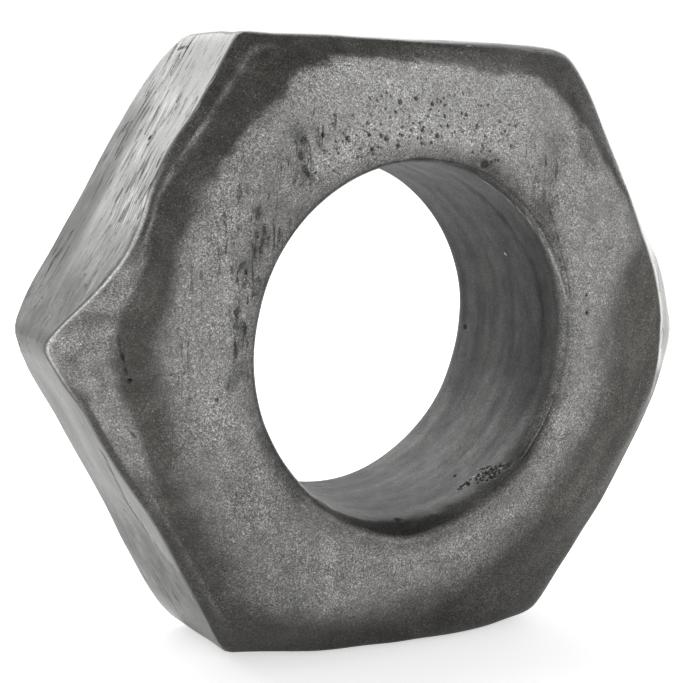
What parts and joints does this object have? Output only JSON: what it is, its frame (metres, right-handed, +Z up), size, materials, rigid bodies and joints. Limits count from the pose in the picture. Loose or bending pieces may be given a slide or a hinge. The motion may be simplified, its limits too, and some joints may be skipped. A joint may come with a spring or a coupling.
{
  "type": "plain-bore hex nut",
  "caption": "Thick hexagonal nut with a smooth unthreaded through bore, chamfered faces and soft moulded edges, in metal-flake grey rubber.",
  "frame": {"origin": "centre of the bore, halfway between the two faces", "axes": "+Y along the bore from the front face to the back face, +Z up from the flat that it stands on, +X towards the corner on the right as the front face is seen"},
  "size_m": [0.0744, 0.022, 0.065],
  "materials": {
    "flake_rubber": "semi-gloss grey with a fine silver metal flake"
  },
  "bodies": {
    "root": {"nut_body": "flake_rubber"}
  },
  "joints": []
}
